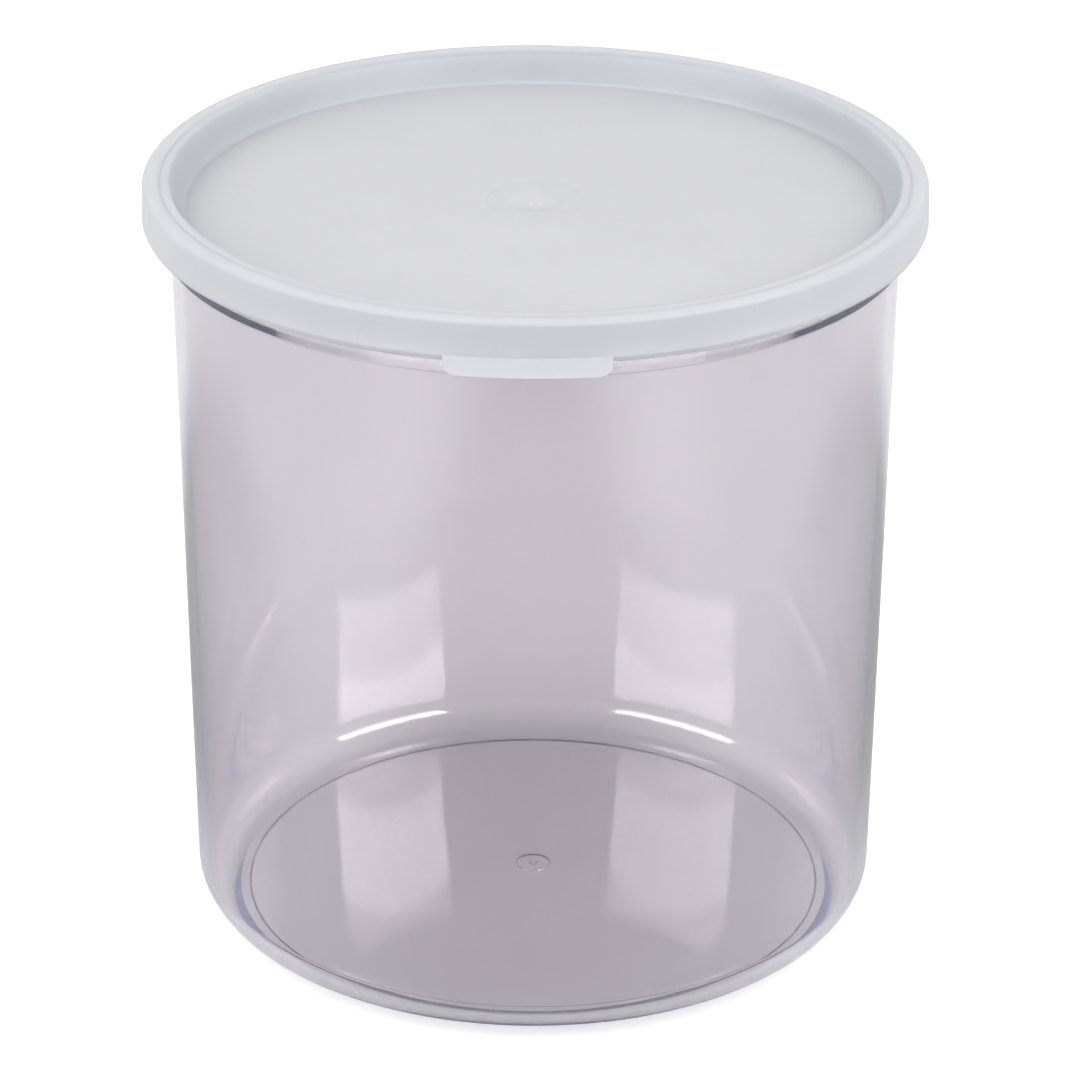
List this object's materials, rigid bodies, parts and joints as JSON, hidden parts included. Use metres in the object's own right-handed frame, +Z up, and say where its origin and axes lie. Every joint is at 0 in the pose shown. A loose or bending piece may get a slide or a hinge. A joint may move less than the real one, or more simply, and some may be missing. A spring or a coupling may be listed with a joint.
{
  "type": "dough proofing container",
  "caption": "Round clear crock with a drafted wall, a ring foot and a thick rim, closed by a translucent snap lid with a recessed panel and a pull tab.",
  "frame": {"origin": "on the container's axis, at the centre of the ring that it stands on, in the plane of that ring", "axes": "+Z up along the axis, from the foot ring to the lid; -Y towards the front, where the lid's pull tab is; +X to the right as seen from the front"},
  "size_m": [0.1682, 0.1706, 0.1715],
  "materials": {
    "clear_polycarbonate": "polished clear polycarbonate with a faint smoky violet tint, darker where it is thick",
    "translucent_polyethylene": "milky translucent polyethylene, satin on the panel and smoother on the rim"
  },
  "bodies": {
    "container": {"container": "clear_polycarbonate"},
    "lid": {"lid": "translucent_polyethylene"}
  },
  "joints": [
    {"name": "lid_lift", "type": "slide", "parent": "container", "child": "lid", "axis": [0, 0, 1], "range_m": [0, 0.2]}
  ]
}
